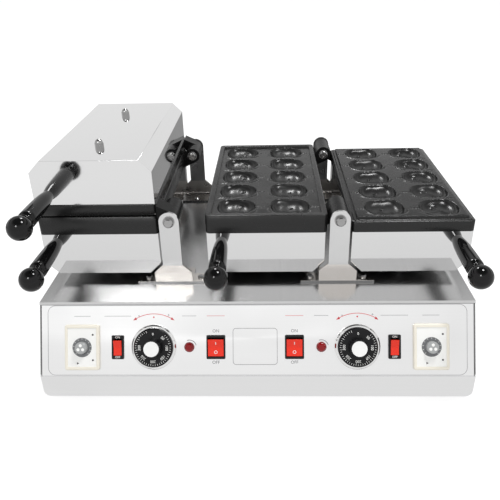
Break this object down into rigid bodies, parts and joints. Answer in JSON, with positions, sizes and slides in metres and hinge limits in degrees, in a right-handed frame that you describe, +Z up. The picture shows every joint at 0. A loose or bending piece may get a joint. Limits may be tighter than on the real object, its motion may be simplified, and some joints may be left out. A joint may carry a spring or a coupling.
{
  "type": "rotating mini cake maker",
  "caption": "Commercial countertop cake maker: pivoting heads of hinged mould halves with egg-shaped cavities, over a stainless base with dials and switches.",
  "frame": {"origin": "on the surface it stands on, under the middle of the machine's box", "axes": "+X along the front from the closed head to the open one, +Y to the back, +Z up"},
  "size_m": [0.5904, 0.4822, 0.3215],
  "materials": {
    "folded_steel": "brushed stainless sheet",
    "polished_steel": "polished stainless sheet",
    "mould_coating": "satin non-stick coating on cast aluminium",
    "bracket_steel": "bright plated steel",
    "fastener_steel": "bright plated steel",
    "grip_black": "gloss phenolic",
    "heater_steel": "heat-darkened steel",
    "foot_rubber": "matt",
    "black_plastic": "matt",
    "cream_plastic": "satin",
    "grey_plastic": "satin",
    "white_cap": "gloss",
    "red_rocker": "gloss translucent",
    "lamp_lens": "gloss translucent"
  },
  "bodies": {
    "base": {"top_tray": "polished_steel", "control_panel": "folded_steel", "left_side_panel": "folded_steel", "right_side_panel": "folded_steel", "rear_panel": "folded_steel", "bottom_plate": "folded_steel", "feet": "foot_rubber", "cable_gland": "black_plastic", "bracket_screws": "fastener_steel", "pivot_bolts": "fastener_steel", "terminal_block": "black_plastic", "thermostat_bodies": "black_plastic", "timer_bodies": "cream_plastic", "pilot_lamps": "lamp_lens", "left_front_bracket": "bracket_steel", "left_rear_bracket": "bracket_steel", "right_front_bracket": "bracket_steel", "right_rear_bracket": "bracket_steel", "left_thermostat_bezel": "fastener_steel", "left_timer_frame": "cream_plastic", "left_power_frame": "black_plastic", "left_timer_switch_frame": "black_plastic", "right_thermostat_bezel": "fastener_steel", "right_timer_frame": "cream_plastic", "right_power_frame": "black_plastic", "right_timer_switch_frame": "black_plastic"},
    "left_rim_half": {"left_rim_plate": "mould_coating", "left_rim_lugs": "mould_coating", "left_rim_casing": "polished_steel", "left_rim_handle": "grip_black", "left_rim_heater": "heater_steel", "left_rim_fasteners": "fastener_steel"},
    "left_lid_half": {"left_lid_plate": "mould_coating", "left_lid_lugs": "mould_coating", "left_lid_casing": "polished_steel", "left_lid_handle": "grip_black", "left_lid_heater": "heater_steel", "left_lid_fasteners": "fastener_steel"},
    "left_thermostat_dial": {"left_temp_knob": "black_plastic", "left_temp_cap": "white_cap"},
    "left_timer_dial": {"left_timer_knob": "grey_plastic"},
    "left_power_switch": {"left_power_rocker": "red_rocker"},
    "left_timer_switch": {"left_timer_switch_rocker": "red_rocker"},
    "right_rim_half": {"right_rim_plate": "mould_coating", "right_rim_lugs": "mould_coating", "right_rim_casing": "polished_steel", "right_rim_handle": "grip_black", "right_rim_heater": "heater_steel", "right_rim_fasteners": "fastener_steel"},
    "right_lid_half": {"right_lid_plate": "mould_coating", "right_lid_lugs": "mould_coating", "right_lid_casing": "polished_steel", "right_lid_handle": "grip_black", "right_lid_heater": "heater_steel", "right_lid_fasteners": "fastener_steel"},
    "right_thermostat_dial": {"right_temp_knob": "black_plastic", "right_temp_cap": "white_cap"},
    "right_timer_dial": {"right_timer_knob": "grey_plastic"},
    "right_power_switch": {"right_power_rocker": "red_rocker"},
    "right_timer_switch": {"right_timer_switch_rocker": "red_rocker"}
  },
  "joints": [
    {"name": "left_pair_turn", "type": "hinge", "parent": "base", "child": "left_rim_half", "pos_m": [-0.1142, 0.0286, 0.2275], "axis": [0, 1, 0], "range_deg": [0, 90]},
    {"name": "left_lid_open", "type": "hinge", "parent": "left_rim_half", "child": "left_lid_half", "pos_m": [-0.1142, 0.0286, 0.2275], "axis": [0, 1, 0], "range_deg": [0, 90]},
    {"name": "right_rim_turn", "type": "hinge", "parent": "base", "child": "right_rim_half", "pos_m": [0.1142, 0.0286, 0.2275], "axis": [0, 1, 0], "range_deg": [0, 180]},
    {"name": "right_lid_turn", "type": "hinge", "parent": "base", "child": "right_lid_half", "pos_m": [0.1142, 0.0286, 0.2275], "axis": [0, 1, 0], "range_deg": [-180, 0]},
    {"name": "left_thermostat_turn", "type": "hinge", "parent": "base", "child": "left_thermostat_dial", "pos_m": [-0.13549, -0.21186, 0.07874], "axis": [0, 0.8822, -0.4708], "range_deg": [0, 270]},
    {"name": "left_timer_turn", "type": "hinge", "parent": "base", "child": "left_timer_dial", "pos_m": [-0.232, -0.21186, 0.07874], "axis": [0, 0.8822, -0.4708], "range_deg": [0, 300]},
    {"name": "left_power_switch_rock", "type": "hinge", "parent": "base", "child": "left_power_switch", "pos_m": [-0.05232, -0.21097, 0.07827], "axis": [-1, 0, 0], "range_deg": [0, 18]},
    {"name": "left_timer_switch_rock", "type": "hinge", "parent": "base", "child": "left_timer_switch", "pos_m": [-0.18421, -0.21097, 0.07827], "axis": [-1, 0, 0], "range_deg": [0, 18]},
    {"name": "right_thermostat_turn", "type": "hinge", "parent": "base", "child": "right_thermostat_dial", "pos_m": [0.13549, -0.21186, 0.07874], "axis": [0, 0.8822, -0.4708], "range_deg": [0, 270]},
    {"name": "right_timer_turn", "type": "hinge", "parent": "base", "child": "right_timer_dial", "pos_m": [0.232, -0.21186, 0.07874], "axis": [0, 0.8822, -0.4708], "range_deg": [0, 300]},
    {"name": "right_power_switch_rock", "type": "hinge", "parent": "base", "child": "right_power_switch", "pos_m": [0.05232, -0.21097, 0.07827], "axis": [-1, 0, 0], "range_deg": [0, 18]},
    {"name": "right_timer_switch_rock", "type": "hinge", "parent": "base", "child": "right_timer_switch", "pos_m": [0.18421, -0.21097, 0.07827], "axis": [-1, 0, 0], "range_deg": [0, 18]}
  ]
}
